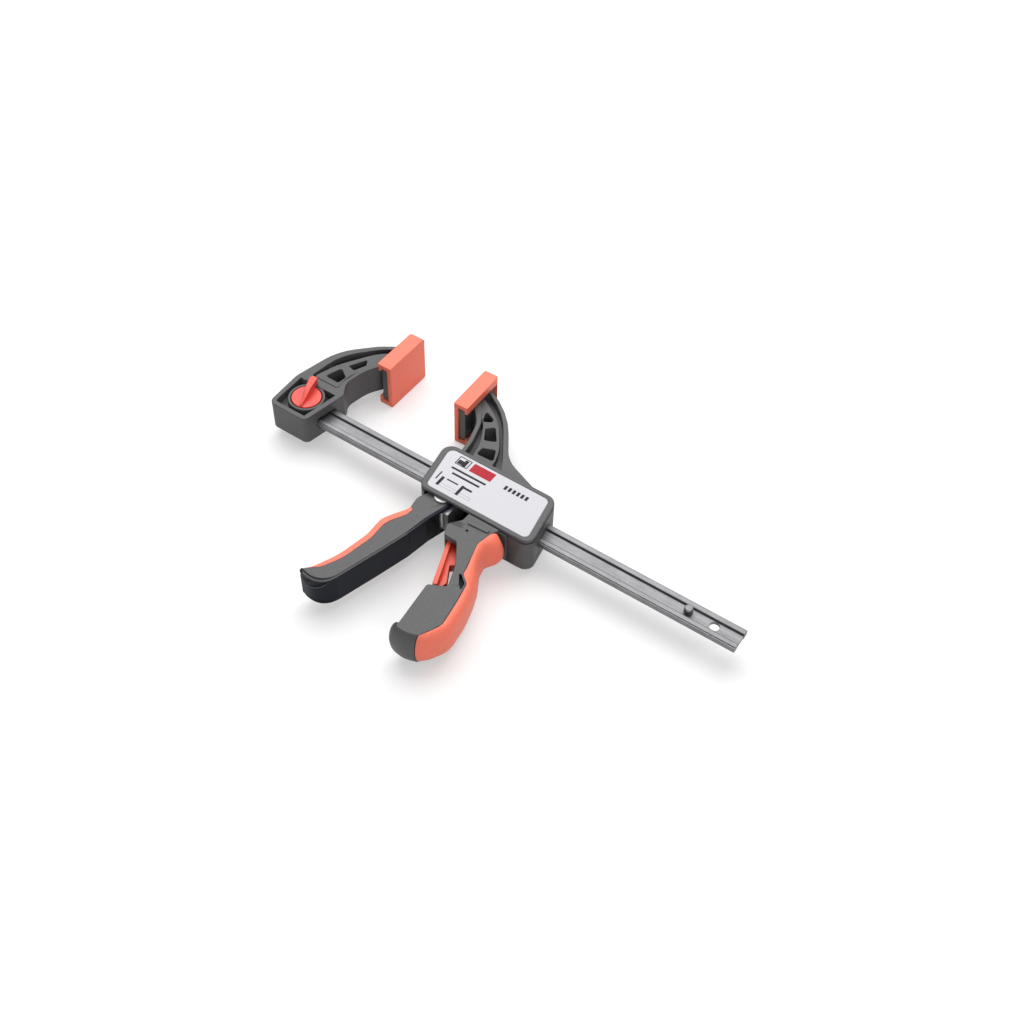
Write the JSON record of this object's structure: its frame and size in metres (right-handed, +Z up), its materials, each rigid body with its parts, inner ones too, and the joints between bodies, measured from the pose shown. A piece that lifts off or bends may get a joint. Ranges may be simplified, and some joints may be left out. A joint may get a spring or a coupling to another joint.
{
  "type": "quick release bar clamp",
  "caption": "One-handed bar clamp: steel bar, fixed jaw with a turn knob, and a sliding jaw with squeeze lever, pistol grip, release lever and soft pads.",
  "frame": {"origin": "centre of the fixed pad's clamping face", "axes": "+X along the bar from the fixed jaw to its free end, +Y away from the bar towards the pads' tips, +Z up through the thickness, so the clamp lies on its side"},
  "size_m": [0.3747, 0.2219, 0.039],
  "materials": {
    "grey_plastic": "finely grained glass-filled plastic",
    "orange_soft": "soft satin overmould",
    "orange_hard": "moulded, slightly satin",
    "bar_steel": "drawn and tumbled, grainy",
    "plate_steel": "punched plate",
    "zinc_steel": "bright zinc",
    "label_white": "pale printed film"
  },
  "bodies": {
    "bar_and_fixed_jaw": {"bar": "bar_steel", "stop_pin": "zinc_steel", "fixed_jaw": "grey_plastic", "knob_washer": "zinc_steel"},
    "knob_set": {"knob": "orange_hard", "lock_spindle": "zinc_steel", "spindle_ring": "zinc_steel"},
    "fixed_jaw_pad": {"fixed_pad": "orange_soft"},
    "carriage": {"carriage_body": "grey_plastic", "housing_cover": "grey_plastic", "label_plate": "label_white", "housing_screws": "zinc_steel", "grip_core": "grey_plastic", "grip_overmould": "orange_soft", "grip_bumper": "grey_plastic", "lever_rivet": "zinc_steel", "release_pin": "zinc_steel", "drive_spring": "zinc_steel", "brake_spring": "zinc_steel"},
    "carriage_pad": {"movable_pad": "orange_soft"},
    "lever": {"squeeze_lever": "grey_plastic", "lever_inlay": "orange_soft", "push_pin": "zinc_steel"},
    "driver": {"drive_plate": "plate_steel"},
    "brake": {"brake_plate": "plate_steel"},
    "release": {"release_lever": "orange_hard"}
  },
  "joints": [
    {"name": "carriage_slide", "type": "slide", "parent": "bar_and_fixed_jaw", "child": "carriage", "axis": [1, 0, 0], "range_m": [-0.0555, 0.1075]},
    {"name": "lever_squeeze", "type": "hinge", "parent": "carriage", "child": "lever", "pos_m": [0.0983, -0.0915, 0], "axis": [0, 0, 1], "range_deg": [0, 26], "stiffness_Nm_per_rad": 0.06, "springref_deg": -11.46},
    {"name": "driver_slide", "type": "slide", "parent": "carriage", "child": "driver", "axis": [1, 0, 0], "range_m": [0, 0.0033], "deforming": ["drive_spring"]},
    {"name": "release_pull", "type": "hinge", "parent": "carriage", "child": "release", "pos_m": [0.1303, -0.1072, 0], "axis": [0, 0, 1], "range_deg": [0, 7], "stiffness_Nm_per_rad": 0.06, "springref_deg": -11.46},
    {"name": "brake_straighten", "type": "hinge", "parent": "carriage", "child": "brake", "pos_m": [0.13665, -0.0845, 0], "axis": [0, 0, 1], "range_deg": [-5.5, 0], "deforming": ["brake_spring"]},
    {"name": "knob_turn", "type": "hinge", "parent": "bar_and_fixed_jaw", "child": "knob_set", "pos_m": [-0.0372, -0.0715, 0], "axis": [0, 0, 1], "range_deg": [-90, 0]},
    {"name": "fixed_pad_pull", "type": "slide", "parent": "bar_and_fixed_jaw", "child": "fixed_jaw_pad", "axis": [0, 1, 0], "range_m": [0, 0.045]},
    {"name": "movable_pad_pull", "type": "slide", "parent": "carriage", "child": "carriage_pad", "axis": [-0.0262, 0.9997, 0], "range_m": [0, 0.045]}
  ],
  "couplings": [
    {"joint": "driver_slide", "follows": "lever_squeeze", "m_per_rad": 0.0072},
    {"joint": "brake_straighten", "follows": "release_pull", "ratio": -0.78}
  ]
}
